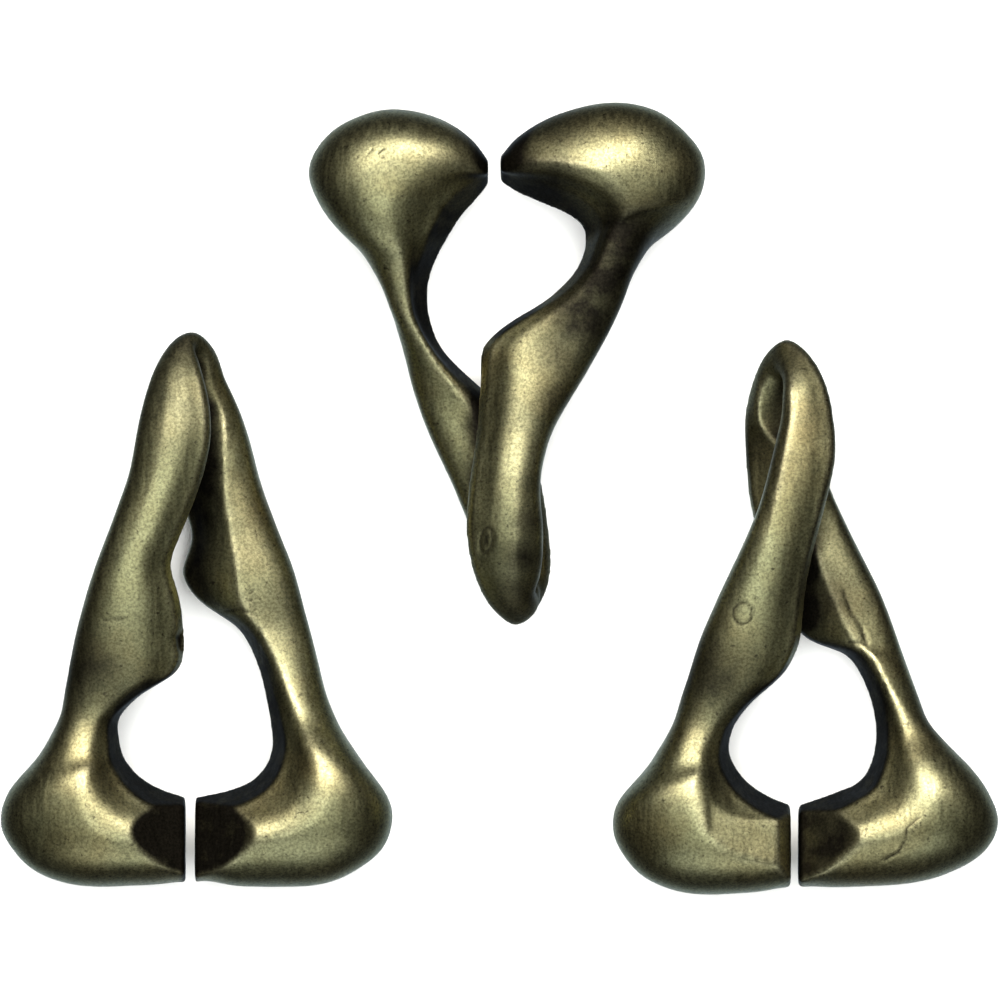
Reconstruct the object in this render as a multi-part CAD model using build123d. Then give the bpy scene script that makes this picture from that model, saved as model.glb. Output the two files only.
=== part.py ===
from build123d import *
import os
from math import cos, radians, tan
from collections import namedtuple

# Metal ring disentanglement puzzle: three solid cast rings that lie flat, side by side.
# Millimetres. Each ring is one bar that runs from one side of a narrow slit, through a
# bulb, up an arm to the apex, down the other arm and through the other bulb, back to the
# slit. The arm on the left of the slit crosses in front (+Z) of the arm on the right.

FLOOR = 0.0            # what the rings lie on
BULB_PULL = 0.46       # how far a bulb's section stays flat at its fullest place
ARM_PULL = 0.60        # the same for an arm, whose faces are flatter
BULB_CREST = 5.0       # half thickness from which a section counts as a bulb's
ARM_CREST = 2.9        # half thickness up to which it counts as an arm's
EDGE_PULL = 0.34       # how far a section's curves hold their direction at the edges
DRAFT = 24.0           # slope of the hole-side walls, away from the parting line
TOP_DRAFT = 32.0       # the same on the top ring, where more of the wall shows

# Flats that thin each bulb towards the slit, front and back: their slope towards the slit
# and their height above the bulb's middle at the slit, for the left and the right bulb
LEFT_BEVELS = ((33.0, 2.0), (33.0, 1.5))
RIGHT_BEVELS = ((15.0, 3.7), (33.0, 1.8))
BEVEL_MIDDLE = 4.6     # where that height is measured, up from the foot of the bulb
BEVEL_FALL = 12.0      # slope of the flats towards the hole
BEVEL_LENGTH = 8.0     # how far from the slit the block that cuts one flat reaches
BEVEL_WIDTH = 16.0     # its width across the bulb

STEPS = 2              # sections made for each stretch between two stations

# Where each ring's own origin (slit middle, foot of the bulbs) lies in the layout, and how
# far the ring is turned about +Z: the top ring's apex points between the other two
LEFT_PLACE = (-27.6, -33.6)
RIGHT_PLACE = (26.8, -34.4)
TOP_PLACE = (-0.3, 36.95)
TOP_TURN = 180.0

# One station of the bar. inner and outer are the edges of its section, on the hole side and
# on the outside, in the ring's own plane. rise is the section's middle, above the middle
# of the bulbs. lean is how much higher the outer edge is than the inner one. crest is the
# half thickness at the fullest place. wall is the half height of the hole-side wall, which
# slopes back both ways from the inner edge. ridge runs from 0, a smooth front, to 1, a
# front with a sharp ridge, and at is where the ridge is, from the inner edge (0) to the
# outer edge (1).
Station = namedtuple("Station", "inner outer rise lean crest wall ridge at")


def bar(*rows):
    """Stations from rows of inner x, y, outer x, y, rise, lean, crest, wall, ridge, at."""
    return [Station((r[0], r[1]), (r[2], r[3]), *r[4:]) for r in rows]


LEFT_RING = bar(
    (-0.45, 8.1, -0.45, 0.4, 0.0, 0.0, 4.6, 3.6, 0.0, 0.5),
    (-2.3, 8.7, -5.0, 0.1, 0.0, 0.0, 5.2, 3.6, 0.1, 0.5),
    (-3.6, 9.3, -10.0, 0.1, 0.0, 0.0, 5.6, 3.5, 0.2, 0.5),
    (-4.7, 10.1, -14.4, 1.7, 0.0, 0.0, 5.7, 3.3, 0.2, 0.45),
    (-5.5, 11.0, -17.0, 5.3, 0.0, 0.0, 5.4, 3.0, 0.1, 0.4),
    (-6.0, 11.9, -16.3, 8.6, 0.0, 0.0, 4.8, 2.8, 0.0, 0.4),
    (-6.3, 13.1, -13.8, 11.6, 0.1, 0.0, 3.8, 2.5, 0.0, 0.5),
    (-6.3, 15.2, -11.8, 15.1, 0.3, 0.0, 2.9, 2.0, 0.0, 0.5),
    (-4.4, 17.2, -11.3, 17.4, 0.6, 0.1, 2.7, 1.5, 0.0, 0.5),
    (-1.0, 19.6, -10.8, 20.2, 1.1, 0.2, 2.7, 1.3, 0.0, 0.55),
    (-0.5, 23.0, -10.1, 23.4, 1.8, 0.2, 2.6, 1.3, 0.0, 0.6),
    (-0.9, 26.2, -9.2, 26.6, 2.5, 0.0, 2.5, 1.3, 0.0, 0.6),
    (-1.6, 29.0, -8.2, 29.6, 3.0, -0.3, 2.4, 1.2, 0.0, 0.6),
    (-0.4, 32.4, -6.9, 33.0, 3.5, -0.7, 2.3, 1.0, 0.1, 0.6),
    (1.2, 36.8, -5.4, 37.2, 3.7, -1.1, 2.2, 0.8, 0.2, 0.6),
    (2.0, 40.6, -4.6, 41.2, 3.7, -1.5, 2.0, 0.7, 0.2, 0.6),
    (1.7, 44.0, -3.7, 44.8, 2.9, -2.0, 1.8, 0.6, 0.2, 0.6),
    (1.0, 46.6, -2.4, 47.4, 1.8, -2.4, 1.5, 0.6, 0.2, 0.6),
    (0.4, 48.2, -0.4, 49.2, 0.4, -2.4, 1.2, 0.6, 0.1, 0.5),
    (0.2, 47.0, 1.7, 48.3, -1.4, -1.6, 1.4, 0.7, 0.1, 0.5),
    (-0.5, 44.6, 2.9, 46.0, -2.5, -0.8, 1.7, 0.8, 0.3, 0.6),
    (-1.3, 42.0, 4.2, 43.2, -3.1, 0.0, 2.0, 0.7, 0.6, 0.75),
    (-1.5, 39.0, 5.3, 40.0, -3.3, 0.8, 2.5, 0.7, 0.5, 0.7),
    (-0.9, 35.0, 6.4, 35.8, -3.3, 1.4, 2.9, 0.7, 0.5, 0.62),
    (0.0, 31.4, 7.8, 32.0, -3.2, 1.6, 3.2, 0.7, 0.5, 0.55),
    (-0.8, 28.2, 9.2, 28.6, -2.9, 1.6, 3.4, 0.7, 0.5, 0.55),
    (0.8, 25.6, 10.1, 25.4, -2.6, 1.2, 3.3, 0.8, 0.5, 0.46),
    (4.2, 23.2, 10.8, 22.8, -2.3, 0.8, 3.1, 1.3, 0.5, 0.35),
    (5.9, 20.2, 11.6, 19.8, -1.9, 0.3, 3.0, 1.8, 0.3, 0.35),
    (6.7, 17.2, 12.4, 16.8, -1.4, 0.0, 3.1, 2.0, 0.2, 0.4),
    (7.2, 14.4, 13.8, 13.7, -0.8, 0.0, 3.6, 2.4, 0.0, 0.5),
    (7.3, 12.6, 16.0, 10.5, -0.3, 0.0, 4.7, 2.8, 0.0, 0.5),
    (6.9, 11.2, 18.1, 7.2, 0.0, 0.0, 5.5, 3.1, 0.1, 0.5),
    (6.1, 10.1, 17.2, 3.3, 0.0, 0.0, 5.8, 3.4, 0.2, 0.5),
    (5.0, 9.3, 12.6, 0.4, 0.0, 0.0, 5.7, 3.5, 0.3, 0.5),
    (3.0, 8.6, 6.4, 0.0, 0.0, 0.0, 5.3, 3.6, 0.3, 0.5),
    (0.45, 8.1, 0.45, 0.4, 0.0, 0.0, 4.8, 3.6, 0.0, 0.5),
)

RIGHT_RING = bar(
    (-0.4, 8.2, -0.4, 0.7, 0.0, 0.0, 4.6, 3.6, 0.0, 0.5),
    (-2.2, 8.9, -4.8, 0.2, 0.0, 0.0, 5.2, 3.6, 0.1, 0.5),
    (-3.4, 9.6, -9.6, 0.2, 0.0, 0.0, 5.6, 3.5, 0.2, 0.5),
    (-4.4, 10.4, -13.8, 1.8, 0.0, 0.0, 5.7, 3.3, 0.2, 0.45),
    (-5.2, 11.4, -16.3, 5.4, 0.0, 0.0, 5.4, 3.0, 0.1, 0.4),
    (-5.7, 12.4, -15.9, 8.5, 0.0, 0.0, 4.8, 2.8, 0.0, 0.4),
    (-5.9, 13.6, -13.4, 11.4, 0.1, 0.0, 3.8, 2.5, 0.0, 0.5),
    (-5.3, 15.5, -11.1, 15.2, 0.3, 0.0, 2.9, 2.0, 0.0, 0.5),
    (-3.6, 17.6, -10.3, 17.6, 0.6, 0.1, 2.7, 1.6, 0.0, 0.5),
    (-1.0, 20.0, -9.4, 20.4, 1.1, 0.2, 2.7, 1.5, 0.0, 0.55),
    (0.4, 22.8, -8.5, 23.2, 1.8, 0.2, 2.6, 1.5, 0.0, 0.6),
    (0.8, 26.4, -7.0, 26.8, 2.6, 0.0, 2.5, 1.3, 0.0, 0.6),
    (1.5, 30.4, -5.2, 30.6, 3.3, -0.2, 2.4, 1.1, 0.1, 0.65),
    (2.7, 35.2, -3.3, 35.0, 3.7, -0.3, 2.2, 0.9, 0.3, 0.75),
    (3.6, 39.6, -2.1, 39.4, 3.5, -0.3, 2.0, 0.7, 0.5, 0.8),
    (3.4, 43.2, -1.3, 42.8, 2.9, -0.2, 1.8, 0.6, 0.5, 0.8),
    (2.7, 46.2, -1.1, 44.8, 2.3, 0.0, 1.6, 0.6, 0.4, 0.8),
    (1.3, 48.7, -0.9, 46.0, 1.3, 0.0, 1.4, 0.6, 0.3, 0.7),
    (-0.7, 50.1, -0.8, 46.5, 0.0, 0.0, 1.3, 0.6, 0.2, 0.6),
    (-2.6, 48.8, -0.7, 46.0, -1.3, 0.0, 1.4, 0.6, 0.3, 0.5),
    (-3.8, 46.2, -0.4, 44.8, -2.3, 0.2, 1.6, 0.7, 0.5, 0.3),
    (-4.5, 43.0, 0.4, 42.8, -3.0, 0.4, 1.9, 0.8, 0.9, 0.3),
    (-4.4, 39.6, 1.9, 40.2, -3.3, 0.7, 2.2, 0.9, 0.9, 0.6),
    (-4.0, 35.2, 3.6, 35.8, -3.4, 0.8, 2.4, 1.0, 0.9, 0.65),
    (-2.6, 30.6, 5.8, 31.0, -3.3, 1.8, 2.8, 0.8, 0.7, 0.6),
    (-1.6, 26.4, 7.9, 26.8, -3.0, 1.8, 3.0, 0.9, 0.7, 0.6),
    (1.2, 23.0, 9.3, 23.0, -2.6, 1.2, 3.0, 1.1, 0.6, 0.55),
    (4.6, 21.6, 10.2, 20.6, -2.2, 0.6, 3.0, 1.5, 0.4, 0.45),
    (6.4, 18.8, 11.2, 17.8, -1.7, 0.2, 3.0, 1.9, 0.3, 0.4),
    (7.2, 15.9, 12.2, 15.2, -1.2, 0.0, 3.2, 2.2, 0.1, 0.5),
    (7.2, 13.4, 14.4, 12.8, -0.7, 0.0, 3.8, 2.5, 0.0, 0.5),
    (6.8, 11.9, 16.7, 10.3, -0.3, 0.0, 4.7, 2.8, 0.0, 0.5),
    (6.2, 10.8, 18.3, 6.9, 0.0, 0.0, 5.5, 3.1, 0.1, 0.5),
    (5.3, 10.0, 16.9, 3.8, 0.0, 0.0, 5.8, 3.4, 0.2, 0.5),
    (4.0, 9.5, 12.0, 1.4, 0.0, 0.0, 5.7, 3.5, 0.3, 0.5),
    (2.4, 8.9, 6.0, 0.8, 0.0, 0.0, 5.3, 3.6, 0.3, 0.5),
    (0.3, 8.2, 0.3, 0.7, 0.0, 0.0, 4.8, 3.6, 0.0, 0.5),
)

TOP_RING = bar(
    (-0.6, 7.2, -0.6, 4.8, 0.0, 0.0, 2.4, 1.4, 0.0, 0.5),
    (-2.2, 8.2, -2.3, 3.0, 0.0, 0.0, 3.8, 2.2, 0.2, 0.5),
    (-4.0, 9.0, -5.4, 1.2, 0.1, 0.0, 4.8, 2.8, 0.4, 0.45),
    (-5.8, 9.7, -10.2, 0.0, 0.2, 0.0, 5.4, 3.0, 0.4, 0.4),
    (-7.1, 10.4, -15.2, 1.0, 0.1, 0.0, 5.5, 3.1, 0.2, 0.4),
    (-8.0, 11.3, -18.9, 5.0, 0.0, 0.0, 5.1, 3.0, 0.0, 0.4),
    (-8.2, 12.4, -18.2, 9.0, 0.0, 0.0, 4.5, 2.7, 0.0, 0.4),
    (-7.9, 13.9, -14.6, 12.2, 0.5, 0.0, 3.6, 2.4, 0.0, 0.5),
    (-6.8, 15.8, -12.6, 15.4, 0.9, 0.0, 2.9, 2.0, 0.0, 0.5),
    (-4.6, 17.8, -11.7, 17.8, 1.0, 0.1, 2.6, 1.7, 0.0, 0.5),
    (-1.2, 19.9, -10.7, 20.0, 1.0, 0.2, 2.5, 1.5, 0.0, 0.5),
    (1.0, 22.0, -9.4, 22.4, 1.1, 0.2, 2.5, 1.4, 0.0, 0.5),
    (1.3, 25.0, -7.7, 25.4, 1.5, 0.0, 2.6, 1.2, 0.1, 0.5),
    (1.6, 29.4, -5.3, 29.6, 2.3, -0.2, 2.5, 1.0, 0.1, 0.6),
    (2.2, 33.8, -4.2, 34.0, 3.3, -0.3, 2.4, 0.9, 0.2, 0.65),
    (2.5, 38.0, -4.4, 38.2, 3.6, -0.4, 2.3, 0.8, 0.3, 0.65),
    (2.2, 41.0, -4.4, 40.8, 3.1, -0.2, 2.1, 0.8, 0.4, 0.6),
    (1.4, 43.6, -4.1, 42.6, 2.0, 0.0, 1.9, 0.8, 0.3, 0.6),
    (0.0, 45.8, -3.6, 43.4, 1.1, 0.0, 1.7, 0.8, 0.2, 0.6),
    (-1.9, 47.1, -2.9, 43.6, 0.0, 0.0, 1.6, 0.8, 0.1, 0.6),
    (-3.7, 45.9, -2.0, 43.4, -1.1, 0.0, 1.7, 0.8, 0.2, 0.5),
    (-4.8, 44.0, -0.8, 42.8, -2.1, 0.0, 1.8, 0.8, 0.3, 0.5),
    (-5.2, 41.6, 0.8, 41.4, -2.8, 0.3, 2.0, 0.9, 0.5, 0.5),
    (-4.9, 37.6, 2.2, 38.0, -3.3, 0.6, 2.2, 1.0, 0.5, 0.5),
    (-4.2, 33.6, 4.0, 33.8, -3.4, 0.6, 2.4, 1.1, 0.5, 0.5),
    (-2.6, 29.4, 6.1, 29.2, -3.3, 0.6, 2.6, 1.2, 0.4, 0.45),
    (0.4, 26.2, 7.3, 25.8, -3.0, 0.4, 2.7, 1.3, 0.4, 0.4),
    (3.1, 23.8, 8.0, 23.0, -2.6, 0.4, 2.8, 1.4, 0.3, 0.4),
    (4.9, 21.6, 8.6, 20.8, -2.2, 0.3, 2.9, 1.6, 0.2, 0.4),
    (5.8, 18.8, 9.4, 18.2, -1.7, 0.1, 3.0, 1.9, 0.0, 0.5),
    (5.8, 16.2, 10.4, 15.8, -1.2, 0.0, 3.2, 2.2, 0.0, 0.5),
    (5.1, 14.1, 12.2, 13.0, -0.7, 0.0, 3.9, 2.5, 0.0, 0.5),
    (4.3, 12.6, 14.8, 10.4, -0.3, 0.0, 4.7, 2.8, 0.0, 0.5),
    (3.7, 11.6, 16.7, 6.2, 0.0, 0.0, 5.3, 3.0, 0.0, 0.5),
    (3.1, 10.6, 14.4, 2.4, 0.0, 0.0, 5.4, 3.0, 0.0, 0.5),
    (2.4, 9.7, 9.6, 0.6, 0.0, 0.0, 5.2, 2.9, 0.0, 0.5),
    (1.6, 8.8, 4.9, 1.4, 0.0, 0.0, 4.4, 2.5, 0.0, 0.5),
    (1.0, 8.1, 1.9, 3.4, 0.0, 0.0, 3.4, 2.0, 0.0, 0.5),
    (0.5, 7.4, 0.5, 5.3, 0.0, 0.0, 2.4, 1.4, 0.0, 0.5),
)


def values(station):
    return [*station.inner, *station.outer, *station[2:]]


def between(rows, knots, index, share):
    """A row between rows index and index + 1, on a smooth curve through all the rows."""
    def slope(i):
        low, high = max(i - 1, 0), min(i + 1, len(rows) - 1)
        run = knots[high] - knots[low]
        return [(b - a) / run for a, b in zip(rows[low], rows[high])]

    span = knots[index + 1] - knots[index]
    start, end = rows[index], rows[index + 1]
    leave, arrive = slope(index), slope(index + 1)
    s2, s3 = share ** 2, share ** 3
    return [
        (2 * s3 - 3 * s2 + 1) * a + (s3 - 2 * s2 + share) * span * da
        + (3 * s2 - 2 * s3) * b + (s3 - s2) * span * db
        for a, b, da, db in zip(start, end, leave, arrive)
    ]


def fill_in(stations):
    """The stations with more between them, so that the loft has no room to wander."""
    rows = [values(station) for station in stations]
    knots = [0.0]
    for here, there in zip(rows, rows[1:]):
        step = Vector(there[0] + there[2] - here[0] - here[2], there[1] + there[3] - here[1] - here[3])
        knots.append(knots[-1] + step.length ** 0.5 + 0.1)
    filled = [between(rows, knots, i, k / STEPS) for i in range(len(rows) - 1) for k in range(STEPS)]
    return bar(*filled, rows[-1])


def middle(station):
    x = (station.inner[0] + station.outer[0]) / 2
    y = (station.inner[1] + station.outer[1]) / 2
    return Vector(x, y, station.rise)


def direction(stations, index):
    """Direction of the bar at a station, from the stations beside it."""
    before = stations[max(index - 1, 0)]
    after = stations[min(index + 1, len(stations) - 1)]
    return (middle(after) - middle(before)).normalized()


def flat_pull(crest):
    """How far a section stays flat at its fullest place: from a bulb's share to an arm's."""
    share = (BULB_CREST - crest) / (BULB_CREST - ARM_CREST)
    return BULB_PULL + (ARM_PULL - BULB_PULL) * min(max(share, 0.0), 1.0)


def side(edge, out_of_edge, crest, past_crest, pull):
    """One curve of a section, from an edge to the crest, with its directions at both."""
    chord = (crest - edge).length
    near_edge = edge + out_of_edge * chord * EDGE_PULL
    near_crest = crest - past_crest * chord * pull
    return Bezier(edge, near_edge, near_crest, crest)


def blend(smooth, sharp, share):
    return (smooth * (1 - share) + sharp * share).normalized()


def section(station, along, draft):
    """Closed outline of the bar: a hole-side wall in two halves, two faces, a round outside."""
    half_lean = station.lean / 2
    inner = Vector(*station.inner, station.rise - half_lean)
    outer = Vector(*station.outer, station.rise + half_lean)
    across = (outer - inner).normalized()
    front = along.cross(across).normalized()
    setback = across * station.wall * tan(radians(draft))
    wall_front = inner + setback + front * station.wall
    wall_back = inner + setback - front * station.wall
    top = inner + (outer - inner) * station.at + front * station.crest
    bottom = inner + (outer - inner) * 0.5 - front * station.crest
    up = (top - wall_front).normalized()
    down = (outer - top).normalized()
    low = (bottom - wall_back).normalized()
    pull = flat_pull(station.crest)
    return Wire([
        side(wall_front, up, top, blend(across, up, station.ridge), pull),
        side(outer, front, top, blend(-across, -down, station.ridge), pull),
        side(outer, -front, bottom, -across, pull),
        side(wall_back, low, bottom, across, pull),
        Line(wall_back, inner).edge(),
        Line(inner, wall_front).edge(),
    ])


def bevel(side_of_slit, angle, foot, face):
    """Block that leaves one sloping flat on a bulb: face 1 is the front, -1 the back."""
    length = BEVEL_LENGTH / cos(radians(angle))
    away = Align.MIN if side_of_slit > 0 else Align.MAX
    above = Align.MIN if face > 0 else Align.MAX
    block = Box(length, BEVEL_WIDTH, BEVEL_WIDTH, align=(away, Align.CENTER, above))
    turn = Rot(-face * BEVEL_FALL, 0, 0) * Rot(0, -side_of_slit * face * angle, 0)
    return Pos(0, BEVEL_MIDDLE, face * foot) * turn * block


def ring(stations, draft, bevels=()):
    """One ring: the bar, with flats front and back beside the slit for each pair in bevels."""
    stations = fill_in(stations)
    outlines = [section(s, direction(stations, i), draft) for i, s in enumerate(stations)]
    solid = Solid.make_loft(outlines)
    for side_of_slit, (angle, foot) in zip((-1, 1), bevels):
        for face in (-1, 1):
            solid -= bevel(side_of_slit, angle, foot, face)
    return solid.solid()


def placed_rings():
    """The three rings in their layout, centred on the origin and resting on the floor."""
    rings = {
        "ring_left": Pos(*LEFT_PLACE, 0) * ring(LEFT_RING, DRAFT, LEFT_BEVELS),
        "ring_right": Pos(*RIGHT_PLACE, 0) * ring(RIGHT_RING, DRAFT, RIGHT_BEVELS),
        "ring_top": Pos(*TOP_PLACE, 0) * Rot(0, 0, TOP_TURN) * ring(TOP_RING, TOP_DRAFT),
    }
    grounded = {}
    for name, solid in rings.items():
        grounded[name] = Pos(0, 0, FLOOR - solid.bounding_box().min.Z) * solid
    box = Compound(list(grounded.values())).bounding_box()
    centre = (box.min + box.max) / 2
    return {name: Pos(-centre.X, -centre.Y, 0) * solid for name, solid in grounded.items()}


def main():
    os.makedirs("parts", exist_ok=True)
    for name, solid in placed_rings().items():
        box = solid.bounding_box()
        print(name, solid.is_valid, round(solid.volume), box.min, box.max)
        solid.label = name
        export_step(solid, f"parts/{name}.step")


main()
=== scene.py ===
from collections import namedtuple
import math

import bpy
import numpy as np
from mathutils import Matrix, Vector, noise
from mathutils.bvhtree import BVHTree


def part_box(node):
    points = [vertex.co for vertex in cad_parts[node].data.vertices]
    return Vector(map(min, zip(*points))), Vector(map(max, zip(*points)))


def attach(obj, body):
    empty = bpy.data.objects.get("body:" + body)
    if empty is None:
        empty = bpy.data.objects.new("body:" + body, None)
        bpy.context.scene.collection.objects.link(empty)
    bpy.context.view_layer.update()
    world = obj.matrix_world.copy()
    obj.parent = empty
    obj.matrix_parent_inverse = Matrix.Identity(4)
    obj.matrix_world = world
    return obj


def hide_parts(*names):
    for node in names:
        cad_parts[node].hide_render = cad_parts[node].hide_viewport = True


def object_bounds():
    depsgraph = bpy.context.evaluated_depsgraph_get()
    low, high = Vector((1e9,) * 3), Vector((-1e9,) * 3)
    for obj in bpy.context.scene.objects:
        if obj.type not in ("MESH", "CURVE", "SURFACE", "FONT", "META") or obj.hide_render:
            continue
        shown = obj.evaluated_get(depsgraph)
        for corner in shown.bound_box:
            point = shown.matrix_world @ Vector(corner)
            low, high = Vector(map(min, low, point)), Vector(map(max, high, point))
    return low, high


MM = 0.001

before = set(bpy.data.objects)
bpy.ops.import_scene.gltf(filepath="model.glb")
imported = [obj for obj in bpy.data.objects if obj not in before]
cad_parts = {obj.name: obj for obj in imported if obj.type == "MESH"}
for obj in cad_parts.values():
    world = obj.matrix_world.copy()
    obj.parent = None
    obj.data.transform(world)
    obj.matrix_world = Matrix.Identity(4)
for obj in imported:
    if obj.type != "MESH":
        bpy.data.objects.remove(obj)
CAD_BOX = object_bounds()
LOW, HIGH = CAD_BOX

CENTRE = (LOW + HIGH) / 2

# Each casting: the imported node, the body it rides on and its new piece's name; where its
# slit is across the node's box, which end of the box the bulbs are at, and where its hole is;
# how strong the painted shade is on the flats beside the slit; its painted shade spots and marks.
Casting = namedtuple("Casting", "node body name slit foot hole flats stains marks")

# Spots of painted shade, with some tarnish, that dim highlights and darken necks: each one's
# place across and up the node's box (0 to 1), its radius and its strength.
LEFT_SHADE_SPOTS = (
    (0.23, 0.39, 4.6 * MM, 0.80),
    (0.20, 0.33, 3.0 * MM, 0.50),
    (0.48, 0.97, 2.6 * MM, 0.70),
    (0.54, 0.60, 3.6 * MM, 0.45),
    (0.53, 0.70, 3.0 * MM, 0.40),
    (0.45, 0.88, 5.2 * MM, 0.52),
    (0.64, 0.63, 4.4 * MM, 0.38),
    (0.70, 0.50, 3.6 * MM, 0.46),
    (0.40, 0.17, 2.4 * MM, 0.80),
    (0.59, 0.17, 2.6 * MM, 0.80),
    (0.66, 0.21, 1.8 * MM, 0.60),
)
RIGHT_SHADE_SPOTS = (
    (0.25, 0.39, 4.6 * MM, 0.85),
    (0.55, 0.53, 4.0 * MM, 0.75),
    (0.36, 0.80, 3.0 * MM, 0.70),
    (0.84, 0.32, 2.6 * MM, 0.50),
    (0.45, 0.95, 2.4 * MM, 0.50),
    (0.52, 0.86, 3.6 * MM, 0.28),
    (0.57, 0.16, 2.2 * MM, 0.60),
)
TOP_SHADE_SPOTS = (
    (0.79, 0.740, 4.8 * MM, 1.00),
    (0.75, 0.665, 5.0 * MM, 1.00),
    (0.69, 0.590, 4.6 * MM, 0.95),
    (0.64, 0.525, 3.4 * MM, 0.75),
    (0.62, 0.440, 2.6 * MM, 0.55),
    (0.61, 0.83, 3.4 * MM, 0.95),
    (0.53, 0.88, 2.6 * MM, 0.90),
    (0.53, 0.40, 4.4 * MM, 0.36),
    (0.28, 0.87, 4.6 * MM, 0.24),
    (0.53, 0.06, 3.2 * MM, 0.80),
    (0.545, 0.13, 2.2 * MM, 0.90),
    (0.555, 0.20, 1.8 * MM, 0.80),
    (0.56, 0.27, 1.4 * MM, 0.55),
    (0.60, 0.985, 4.0 * MM, 0.70),
)

# A mark is pressed or scratched into the front: its path in mm from the low corner of the
# node's box, its half width and its depth.
Mark = namedtuple("Mark", "path width depth")


def oval(x, y, half_width, half_height, turn=0.0, corners=24):
    """Closed path of an oval, its long way turned from upright by turn degrees."""
    angle = math.radians(turn)
    path = []
    for step in range(corners + 1):
        around = 2 * math.pi * step / corners
        across, up = half_width * math.cos(around), half_height * math.sin(around)
        path.append((x + across * math.cos(angle) - up * math.sin(angle),
                     y + across * math.sin(angle) + up * math.cos(angle)))
    return path


def pits(x, y, step_x, step_y, count, width, depth):
    """A row of small pits, as marks of one point each."""
    return [Mark([(x + step_x * i, y + step_y * i)], width, depth) for i in range(count)]


LEFT_MARKS = (
    Mark([(16.3, 22.4), (16.5, 21.7)], 0.55, 0.30),                    # nick in the inner edge
    Mark([(9.4, 24.0), (11.2, 24.05)], 0.12, 0.06),                    # short scratch
    Mark([(20.3, 24.8), (21.6, 24.9), (22.7, 24.6)], 0.14, 0.09),      # seam across the lobe
    # rows of pits down the back arm
    *pits(22.8, 26.6, 0.055, -0.56, 12, 0.14, 0.07),
    *pits(22.4, 27.6, 0.045, -0.60, 5, 0.13, 0.05),
)
RIGHT_MARKS = (
    Mark(oval(11.65, 25.35, 0.88, 0.95), 0.13, 0.035),                 # ejector pin's ring
    # hairline on the right bulb
    Mark([(24.3, 3.2), (25.6, 3.9), (26.2, 5.0), (26.3, 6.1), (27.4, 7.1)], 0.10, 0.06),
    # seams and a scratch on the back arm
    Mark([(20.9, 27.2), (21.5, 25.6), (22.4, 24.2), (22.9, 22.6)], 0.14, 0.09),
    Mark([(21.2, 22.7), (22.9, 22.6)], 0.14, 0.08),
    Mark([(24.3, 19.0), (24.6, 18.0)], 0.10, 0.05),
    # two pits above the left neck
    Mark([(5.9, 14.4)], 0.26, 0.07),
    Mark([(8.8, 17.0)], 0.24, 0.06),
)
TOP_MARKS = (
    Mark(oval(16.0, 7.7, 0.52, 1.15, -8.0), 0.15, 0.08),               # ejector pin's oval
    Mark([(15.95, 7.4), (16.05, 8.0)], 0.36, 0.05),
    # two scratches on the left bulb
    Mark([(5.4, 42.3), (5.85, 42.8)], 0.10, 0.03),
    Mark([(6.3, 42.3), (6.8, 42.8)], 0.10, 0.03),
)
CASTINGS = (
    Casting("ring_left", "left_ring", "cast_ring_left", 0.484, 0, (0.495, 0.265),
            (1.0, 1.0), LEFT_SHADE_SPOTS, LEFT_MARKS),
    Casting("ring_right", "right_ring", "cast_ring_right", 0.473, 0, (0.48, 0.297),
            (0.0, 0.75), RIGHT_SHADE_SPOTS, RIGHT_MARKS),
    Casting("ring_top", "top_ring", "cast_ring_top", 0.473, 1, (0.456, 0.64),
            (0.6, 0.9), TOP_SHADE_SPOTS, TOP_MARKS),
)

# How a casting is worked
SKIN = 0.21 * MM          # edge length of the remeshed skin
EDGE_ROUNDS = 5           # rounds of averaging that soften the cast edges
WAVE_SIZE = 4.5 * MM      # the uneven surface left by hand finishing
WAVE_HEIGHT = 0.05 * MM
DIMPLE_SIZE = 1.3 * MM    # the finer unevenness of the casting
DIMPLE_HEIGHT = 0.012 * MM

# How its wear, patina and painted shade are found
FINE_ROUNDS = 14          # rounds of averaging that find creases and edges
BROAD_ROUNDS = 400        # the same, to find necks and bulbs
SHADE_ROUNDS = 5          # the same, to keep a shade's edge soft
HOLE_REACH = 13 * MM      # how far from its hole a ring's wall can be
HOLE_FADE = 0.8           # share of that reach after which the shade fades
SHELTER_REACH = 14 * MM   # how far the ring itself can close a place off, for painted shade
SHELTER_RAYS = 20
SHELTER_STEP = 6          # every sixth vertex is tested
SHELTER_ROUNDS = 40

# Where each kind of wear, patina and painted shade starts and where it is full
OCCLUDED = (0.16, 0.52)         # share of the directions that are closed off
CREASED = (0.008, 0.05)          # mm under the fine average
NECKED = (-0.02, 0.35)           # mm under the broad average
PROUD = (0.01, 0.06)             # mm above the fine average
TILTED = (0.18, 0.46)            # how far a flat faces the slit
FACING_HOLE = (0.45, 0.85)       # how far a wall faces the hole
FACING_FRONT = (0.05, 0.3)       # how far a marked place faces up
BESIDE_SLIT = (6.6 * MM, 4.8 * MM)
NEAR_FOOT = (13 * MM, 10 * MM)
NECK_SHARE = 0.8                 # strength of the painted shade, with some patina, in the necks
WALL_SHARE = 0.95                # the same on the walls of the hole
INK_SHARE = 0.8                  # strength of the dark finish that the marks hold

# The stage
FRAME_WIDTH = 90.0 * MM   # what the camera sees across
CAMERA_HEIGHT = 1.2
CAMERA_SHIFT = (0.04 * MM, -0.13 * MM)
LIGHT_TARGET = (0.0, 0.0, 0.006)
FLOOR_HALF = 2.0
FLOOR_DROP = 0.02 * MM    # how far the floor lies under the lowest point

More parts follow.
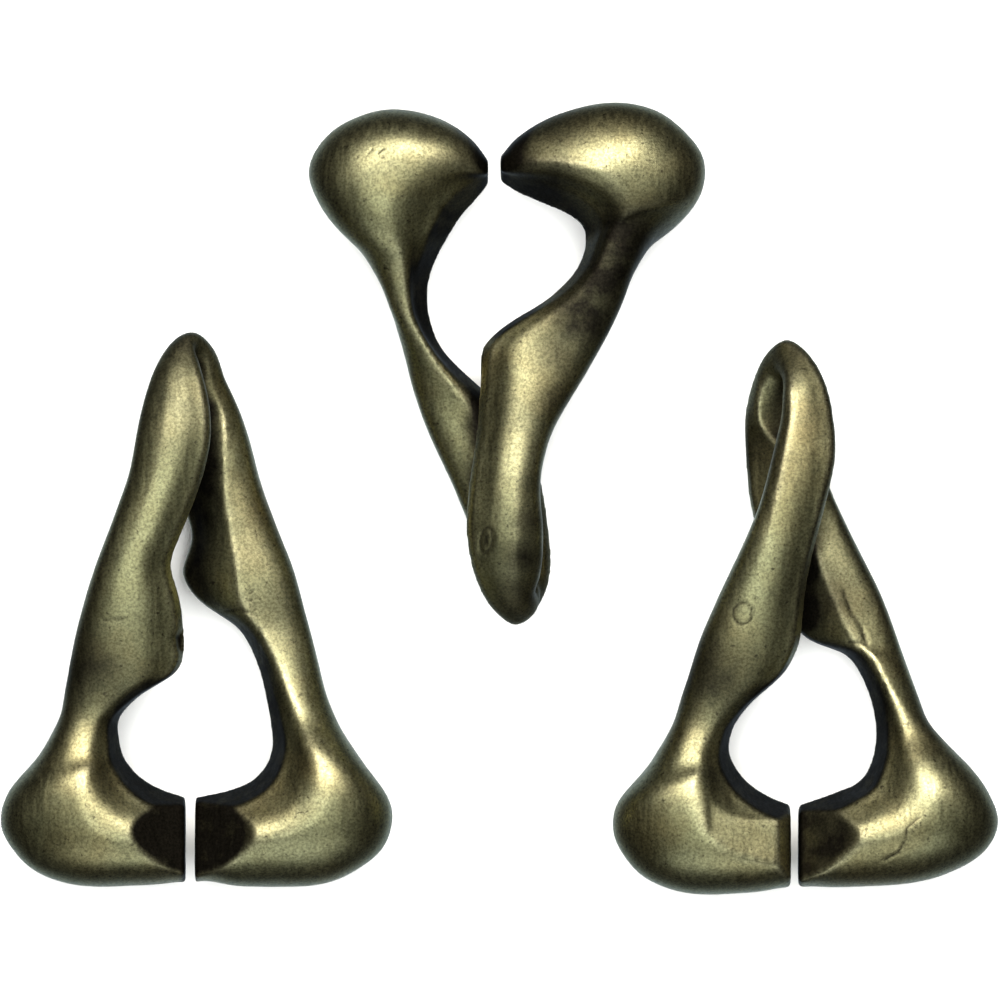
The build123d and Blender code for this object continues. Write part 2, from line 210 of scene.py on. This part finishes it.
# Light of the surroundings, from straight below (0) to straight above (1)
SKY = (
    (0.00, (0.62, 0.76, 0.90, 1.0)),
    (0.10, (0.34, 0.42, 0.49, 1.0)),
    (0.22, (0.07, 0.08, 0.09, 1.0)),
    (0.40, (0.012, 0.011, 0.010, 1.0)),
    (0.62, (0.014, 0.013, 0.011, 1.0)),
    (0.80, (0.05, 0.05, 0.04, 1.0)),
    (1.00, (0.10, 0.10, 0.09, 1.0)),
)
BACKDROP = (0.86, 0.88, 0.90, 1.0)

# The brass's tones
DULL = (0.40, 0.37, 0.20, 1.0)
CLEAN = (0.48, 0.48, 0.29, 1.0)
WARM = (0.42, 0.33, 0.15, 1.0)
BURNISHED = (0.62, 0.58, 0.38, 1.0)
# The darkest tone serves both the patina and the painted shade
BLACK_PATINA_AND_SHADE = (0.030, 0.026, 0.020, 1.0)
SPECK = (0.05, 0.042, 0.03, 1.0)

# Its grain: noise scales per metre, roughness and bump
CLOUD_SCALE = 130.0
MOTTLE_SCALE = 420.0
FLECK_SCALE = 2300.0
GRAIN_SCALE = 4200.0
BRUSH_SCALES = (3000.0, 260.0, 1500.0)   # brush marks are long along y
BRUSH_TURN = 0.3
ROUGHNESS = (0.32, 0.43)
DARK_ROUGHNESS = 0.14     # how much rougher the patina and painted shade are
BUMP_STRENGTH = 0.34
BUMP_DEPTH = 0.03 * MM


# ---------------------------------------------------------------- node tools

def new_material(name):
    material = bpy.data.materials.new(name)
    material.use_nodes = True
    tree = material.node_tree
    tree.nodes.clear()
    return material, tree


def add(tree, kind, inputs=None, **settings):
    node = tree.nodes.new(kind)
    for key, value in settings.items():
        setattr(node, key, value)
    for key, value in (inputs or {}).items():
        if isinstance(value, bpy.types.NodeSocket):
            tree.links.new(value, node.inputs[key])
        else:
            node.inputs[key].default_value = value
    return node


def noise_of(tree, place, scale, detail, roughness=0.5):
    node = add(tree, "ShaderNodeTexNoise",
               {"Vector": place, "Scale": scale, "Detail": detail, "Roughness": roughness})
    return node.outputs["Fac"]


def remap(tree, value, start, end, low, high):
    node = add(tree, "ShaderNodeMapRange",
               {"Value": value, "From Min": start, "From Max": end, "To Min": low, "To Max": high})
    return node.outputs["Result"]


def blend(tree, share, first, second, how="MIX"):
    node = add(tree, "ShaderNodeMix", {0: share, 6: first, 7: second},
               data_type="RGBA", blend_type=how)
    return node.outputs[2]


def maths(tree, how, *values, clamp=False):
    node = add(tree, "ShaderNodeMath", dict(enumerate(values)), operation=how, use_clamp=clamp)
    return node.outputs[0]


# ---------------------------------------------------------------- stage

def make_camera():
    data = bpy.data.cameras.new("camera")
    data.lens = data.sensor_width * (CAMERA_HEIGHT - HIGH.z / 2) / FRAME_WIDTH
    data.clip_start = 0.1
    data.clip_end = 5.0
    camera = bpy.data.objects.new("camera", data)
    camera.location = (CENTRE.x + CAMERA_SHIFT[0], CENTRE.y + CAMERA_SHIFT[1], CAMERA_HEIGHT)
    bpy.context.scene.collection.objects.link(camera)
    bpy.context.scene.camera = camera


def make_light(name, place, size, power, colour):
    data = bpy.data.lights.new(name, "AREA")
    data.shape = "RECTANGLE"
    data.size, data.size_y = size
    data.energy = power
    data.color = colour
    light = bpy.data.objects.new(name, data)
    light.location = place
    aim = Vector(LIGHT_TARGET) - Vector(place)
    light.rotation_euler = aim.to_track_quat("-Z", "Y").to_euler()
    light.visible_camera = False
    bpy.context.scene.collection.objects.link(light)
    return light


def make_lights():
    """Name, place, size across and along, watts and colour of each light."""
    make_light("key", (0.0, 0.40, 0.58), (0.60, 0.30), 4.6, (1.0, 0.96, 0.87))
    make_light("overhead", (0.0, -0.08, 0.80), (0.50, 0.60), 1.6, (0.95, 1.0, 0.90))
    make_light("front_fill", (0.0, -0.66, 0.48), (0.70, 0.36), 0.9, (0.94, 1.0, 0.96))
    wash = make_light("floor_wash", (0.0, 0.0, 1.0), (1.2, 1.2), 22.0, (1.0, 1.0, 1.0))
    wash.visible_glossy = False


def make_world():
    """Dim surroundings, pale straight below; the camera sees a plain pale backdrop."""
    world = bpy.data.worlds.new("studio")
    world.use_nodes = True
    tree = world.node_tree
    tree.nodes.clear()
    direction = add(tree, "ShaderNodeTexCoord")
    parts = add(tree, "ShaderNodeSeparateXYZ", {"Vector": direction.outputs["Generated"]})
    height = add(tree, "ShaderNodeMapRange",
                 {"Value": parts.outputs["Z"], "From Min": -1.0, "From Max": 1.0})
    sky = add(tree, "ShaderNodeValToRGB", {"Fac": height.outputs["Result"]})
    stops = sky.color_ramp
    stops.interpolation = "EASE"
    stops.elements[0].color = SKY[0][1]
    stops.elements[1].color = SKY[-1][1]
    for place, tone in SKY[1:-1]:
        stops.elements.new(place).color = tone
    glossy = add(tree, "ShaderNodeBackground", {"Color": sky.outputs["Color"], "Strength": 1.0})
    pale = add(tree, "ShaderNodeBackground", {"Color": BACKDROP, "Strength": 1.0})
    ray = add(tree, "ShaderNodeLightPath")
    mix = add(tree, "ShaderNodeMixShader",
              {0: ray.outputs["Is Camera Ray"], 1: glossy.outputs[0], 2: pale.outputs[0]})
    add(tree, "ShaderNodeOutputWorld", {"Surface": mix.outputs[0]})
    bpy.context.scene.world = world


def make_floor():
    material, tree = new_material("pale_floor")
    coordinate = add(tree, "ShaderNodeTexCoord")
    grain = add(tree, "ShaderNodeTexNoise",
                {"Vector": coordinate.outputs["Object"], "Scale": 60.0, "Detail": 3.0})
    tint = add(tree, "ShaderNodeMapRange",
               {"Value": grain.outputs["Fac"], "To Min": 0.90, "To Max": 0.94})
    shader = add(tree, "ShaderNodeBsdfPrincipled",
                 {"Base Color": tint.outputs["Result"], "Roughness": 0.85})
    add(tree, "ShaderNodeOutputMaterial", {"Surface": shader.outputs["BSDF"]})
    corners = [(x * FLOOR_HALF, y * FLOOR_HALF, 0) for x, y in ((-1, -1), (1, -1), (1, 1), (-1, 1))]
    mesh = bpy.data.meshes.new("floor")
    mesh.from_pydata(corners, [], [(0, 1, 2, 3)])
    mesh.materials.append(material)
    floor = bpy.data.objects.new("floor", mesh)
    floor.location.z = LOW.z - FLOOR_DROP
    floor.visible_glossy = False
    bpy.context.scene.collection.objects.link(floor)


# ---------------------------------------------------------------- castings

def remeshed(node, name):
    """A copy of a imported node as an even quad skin, with no modifiers left."""
    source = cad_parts[node]
    piece = bpy.data.objects.new(name, source.data.copy())
    bpy.context.scene.collection.objects.link(piece)
    modifier = piece.modifiers.new("skin", "REMESH")
    modifier.mode = "VOXEL"
    modifier.voxel_size = SKIN
    modifier.use_smooth_shade = True
    deps = bpy.context.evaluated_depsgraph_get()
    mesh = bpy.data.meshes.new_from_object(piece.evaluated_get(deps))
    piece.modifiers.clear()
    old = piece.data
    piece.data = mesh
    bpy.data.meshes.remove(old)
    mesh.name = name
    mesh.materials.clear()
    return piece


def points_of(mesh):
    points = np.empty(len(mesh.vertices) * 3)
    mesh.vertices.foreach_get("co", points)
    return points.reshape(-1, 3)


def normals_of(mesh):
    normals = np.empty(len(mesh.vertices) * 3, np.float32)
    mesh.vertex_normals.foreach_get("vector", normals)
    return normals.reshape(-1, 3).astype(float)


def edges_of(mesh):
    edges = np.empty(len(mesh.edges) * 2, np.int32)
    mesh.edges.foreach_get("vertices", edges)
    return edges.reshape(-1, 2)


def write_points(mesh, points):
    mesh.vertices.foreach_set("co", points.astype(np.float32).ravel())
    mesh.update()


def averaged(values, edges, rounds):
    """Values at the vertices, each round averaged with their neighbours' mean."""
    flat = values.reshape(len(values), -1)
    count = np.bincount(edges.ravel(), minlength=len(flat))[:, None]
    for _ in range(rounds):
        total = np.stack([
            np.bincount(edges[:, 0], column[edges[:, 1]], len(flat))
            + np.bincount(edges[:, 1], column[edges[:, 0]], len(flat))
            for column in flat.T], axis=1)
        flat = (flat + total / np.maximum(count, 1)) / 2
    return flat.reshape(values.shape)


def hollow(points, normals, edges, rounds):
    """How far the surface lies under its own average, in metres: above 0 in a hollow."""
    return ((averaged(points, edges, rounds) - points) * normals).sum(axis=1)


def ripple(points, size, seed):
    """Smooth noise from -1 to 1 at the points, with waves of about that size."""
    offset = Vector((seed * 7.3, seed * 3.1, seed * 5.7))
    return np.array([noise.noise(Vector(point) / size + offset) for point in points])


def occlusion(mesh, points, normals, edges):
    """Share of the directions out of each point that the ring itself closes off, 0 to 1, for
    painted shade.
    """
    tree = BVHTree.FromPolygons(points.tolist(), [face.vertices[:] for face in mesh.polygons])
    rng = np.random.default_rng(5)
    found = np.zeros(len(points))
    tested = np.zeros(len(points))
    for index in range(0, len(points), SHELTER_STEP):
        normal = Vector(normals[index])
        start = Vector(points[index]) + normal * (0.05 * MM)
        hits = 0
        for spread in rng.normal(size=(SHELTER_RAYS, 3)):
            ray = Vector(spread).normalized() + normal * 1.02
            hits += tree.ray_cast(start, ray.normalized(), SHELTER_REACH)[0] is not None
        found[index] = hits / SHELTER_RAYS
        tested[index] = 1.0
    shares = averaged(np.stack([found, tested], axis=1), edges, SHELTER_ROUNDS)
    return shares[:, 0] / np.maximum(shares[:, 1], 1e-6)


def store(mesh, name, values):
    attribute = mesh.attributes.new(name, "FLOAT", "POINT")
    attribute.data.foreach_set("value", values.astype(np.float32))


def ramp(values, start, end):
    """0 at start and before, 1 at end and after, smooth between."""
    share = np.clip((values - start) / (end - start), 0.0, 1.0)
    return share * share * (3.0 - 2.0 * share)


def flat_shade(casting, points, normals, low, high):
    """Painted shade and painted dark reflection, with some patina, on the two flats beside the
    slit.
    """
    from_slit = points[:, 0] - (low[0] + (high[0] - low[0]) * casting.slit)
    foot = high[1] if casting.foot else low[1]
    near = ramp(np.abs(from_slit), *BESIDE_SLIT) * ramp(np.abs(points[:, 1] - foot), *NEAR_FOOT)
    left, right = casting.flats
    towards = np.where(from_slit < 0, normals[:, 0] * left, -normals[:, 0] * right)
    return near * ramp(towards, *TILTED)


def wall_shade(casting, points, normals, low, high):
    """Painted shade, with some patina, on the walls that face the hole."""
    hole = low + (high - low) * np.array([*casting.hole, 0.5])
    across, up = hole[0] - points[:, 0], hole[1] - points[:, 1]
    away = np.hypot(across, up)
    facing = (normals[:, 0] * across + normals[:, 1] * up) / np.maximum(away, MM)
    return ramp(facing, *FACING_HOLE) * ramp(away, HOLE_REACH, HOLE_REACH * HOLE_FADE)


def pressed(casting, points, normals, low):
    """How deep the marks go at each point, and how much dark finish they hold."""
    depth, shade = np.zeros(len(points)), np.zeros(len(points))
    front = ramp(normals[:, 2], *FACING_FRONT)
    for mark in casting.marks:
        path = np.array(mark.path) * MM + low[:2]
        away = np.full(len(points), np.inf)
        for start, end in zip(path, path[1:] if len(path) > 1 else path):
            run = end - start
            share = ((points[:, :2] - start) @ run) / max(run @ run, 1e-12)
            nearest = start + np.clip(share, 0.0, 1.0)[:, None] * run
            away = np.minimum(away, np.hypot(*(points[:, :2] - nearest).T))
        dent = np.exp(-(away / (mark.width * MM)) ** 2) * front
        depth = np.maximum(depth, dent * mark.depth * MM)
        shade = np.maximum(shade, dent)
    return depth, shade


def stains(casting, points, low, high):
    """Painted shade, with some tarnish, at the casting's spots."""
    shade = np.zeros(len(points))
    for across, up, radius, strength in casting.stains:
        middle = low + (high - low) * np.array([across, up, 0.5])
        away = np.hypot(points[:, 0] - middle[0], points[:, 1] - middle[1]) / radius
        shade = np.maximum(shade, strength * np.exp(-away ** 2))
    return shade


def finished(casting, mesh, low, high, seed):
    """Softens the edges, adds the unevenness and the marks; returns the marks' darkness."""
    edges = edges_of(mesh)
    points = averaged(points_of(mesh), edges, EDGE_ROUNDS)
    write_points(mesh, points)
    normals = normals_of(mesh)
    uneven = ripple(points, WAVE_SIZE, seed) * WAVE_HEIGHT
    uneven += ripple(points, DIMPLE_SIZE, seed + 3) * DIMPLE_HEIGHT
    depth, inked = pressed(casting, points, normals, low)
    points += normals * (uneven - depth)[:, None]
    write_points(mesh, np.clip(points, low, high))
    return inked


def wear_and_shade(casting, mesh, low, high, inked):
    """Stores where patina and painted shade darken the brass, and where it was rubbed bright."""
    points, edges, normals = points_of(mesh), edges_of(mesh), normals_of(mesh)
    fine = hollow(points, normals, edges, FINE_ROUNDS) / MM
    broad = hollow(points, normals, edges, BROAD_ROUNDS) / MM
    # Patina in the creases; painted shade, with some patina, where the ring closes a place off, in
    # the necks and on the hole's walls; painted shade on the flats beside the slit and at the
    # spots.
    dark = np.maximum.reduce([
        ramp(occlusion(mesh, points, normals, edges), *OCCLUDED),
        ramp(fine, *CREASED),
        NECK_SHARE * ramp(broad, *NECKED),
        WALL_SHARE * wall_shade(casting, points, normals, low, high),
        flat_shade(casting, points, normals, low, high),
        stains(casting, points, low, high),
    ])
    dark = averaged(dark, edges, SHADE_ROUNDS)
    store(mesh, "patina_and_shade", np.maximum(dark, INK_SHARE * inked))
    store(mesh, "rubbed", averaged(ramp(-fine, *PROUD), edges, SHADE_ROUNDS))


def cast_ring(casting, seed):
    """One casting as a finished skin, with the wear, patina and painted shade that its material
    reads.
    """
    piece = remeshed(casting.node, casting.name)
    low, high = (np.array(corner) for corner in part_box(casting.node))
    inked = finished(casting, piece.data, low, high, seed)
    wear_and_shade(casting, piece.data, low, high, inked)
    return piece


def brass_tone(tree, place, mottle, grain, dark, rubbed):
    """Colour of the plating, from clean to patina and painted shade, with warm clouds and black
    specks.
    """
    cloud = noise_of(tree, place, CLOUD_SCALE, 3.0)
    fleck = noise_of(tree, place, FLECK_SCALE, 2.0)
    tone = blend(tree, mottle, DULL, CLEAN)
    tone = blend(tree, remap(tree, cloud, 0.45, 0.70, 0.0, 0.55), tone, WARM)
    tone = blend(tree, remap(tree, rubbed, 0.0, 1.0, 0.0, 0.6), tone, BURNISHED)
    tone = blend(tree, dark, tone, BLACK_PATINA_AND_SHADE)
    tone = blend(tree, 1.0, tone, remap(tree, grain, 0.38, 0.62, 0.62, 1.16), "MULTIPLY")
    return blend(tree, remap(tree, fleck, 0.64, 0.74, 0.0, 0.7), tone, SPECK)


def brass():
    """Antique brass plating: rubbed bright where it stands out, dark with patina and painted shade.
    """
    material, tree = new_material("antique_brass")
    place = add(tree, "ShaderNodeTexCoord").outputs["Object"]
    # One attribute carries patina and painted shade, the other the rubbed edges.
    patina_and_shade = add(tree, "ShaderNodeAttribute", attribute_name="patina_and_shade").outputs["Fac"]
    rubbed = add(tree, "ShaderNodeAttribute", attribute_name="rubbed").outputs["Fac"]

    mottle = noise_of(tree, place, MOTTLE_SCALE, 6.0, 0.62)
    grain = noise_of(tree, place, GRAIN_SCALE, 3.0, 0.65)
    brushed = add(tree, "ShaderNodeMapping",
                  {"Vector": place, "Rotation": (0.0, 0.0, BRUSH_TURN), "Scale": BRUSH_SCALES})
    streak = noise_of(tree, brushed.outputs[0], 1.0, 2.0)
    dark = maths(tree, "MULTIPLY", patina_and_shade, remap(tree, mottle, 0.3, 0.7, 0.90, 1.20), clamp=True)

    rough = remap(tree, streak, 0.3, 0.7, *ROUGHNESS)
    rough = maths(tree, "MULTIPLY_ADD", dark, DARK_ROUGHNESS, rough)
    bump = add(tree, "ShaderNodeBump",
               {"Strength": BUMP_STRENGTH, "Distance": BUMP_DEPTH,
                "Height": maths(tree, "MULTIPLY_ADD", streak, 0.2, grain)})
    tone = brass_tone(tree, place, mottle, grain, dark, rubbed)
    shader = add(tree, "ShaderNodeBsdfPrincipled",
                 {"Base Color": tone, "Metallic": 1.0, "Roughness": rough,
                  "Normal": bump.outputs["Normal"]})
    add(tree, "ShaderNodeOutputMaterial", {"Surface": shader.outputs["BSDF"]})
    return material


# ---------------------------------------------------------------- the object

bpy.context.scene.view_settings.view_transform = "Standard"
make_camera()
make_lights()
make_world()
make_floor()
finish = brass()
for seed, casting in enumerate(CASTINGS, start=1):
    piece = cast_ring(casting, seed)
    piece.data.materials.append(finish)
    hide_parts(casting.node)
    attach(piece, casting.body)
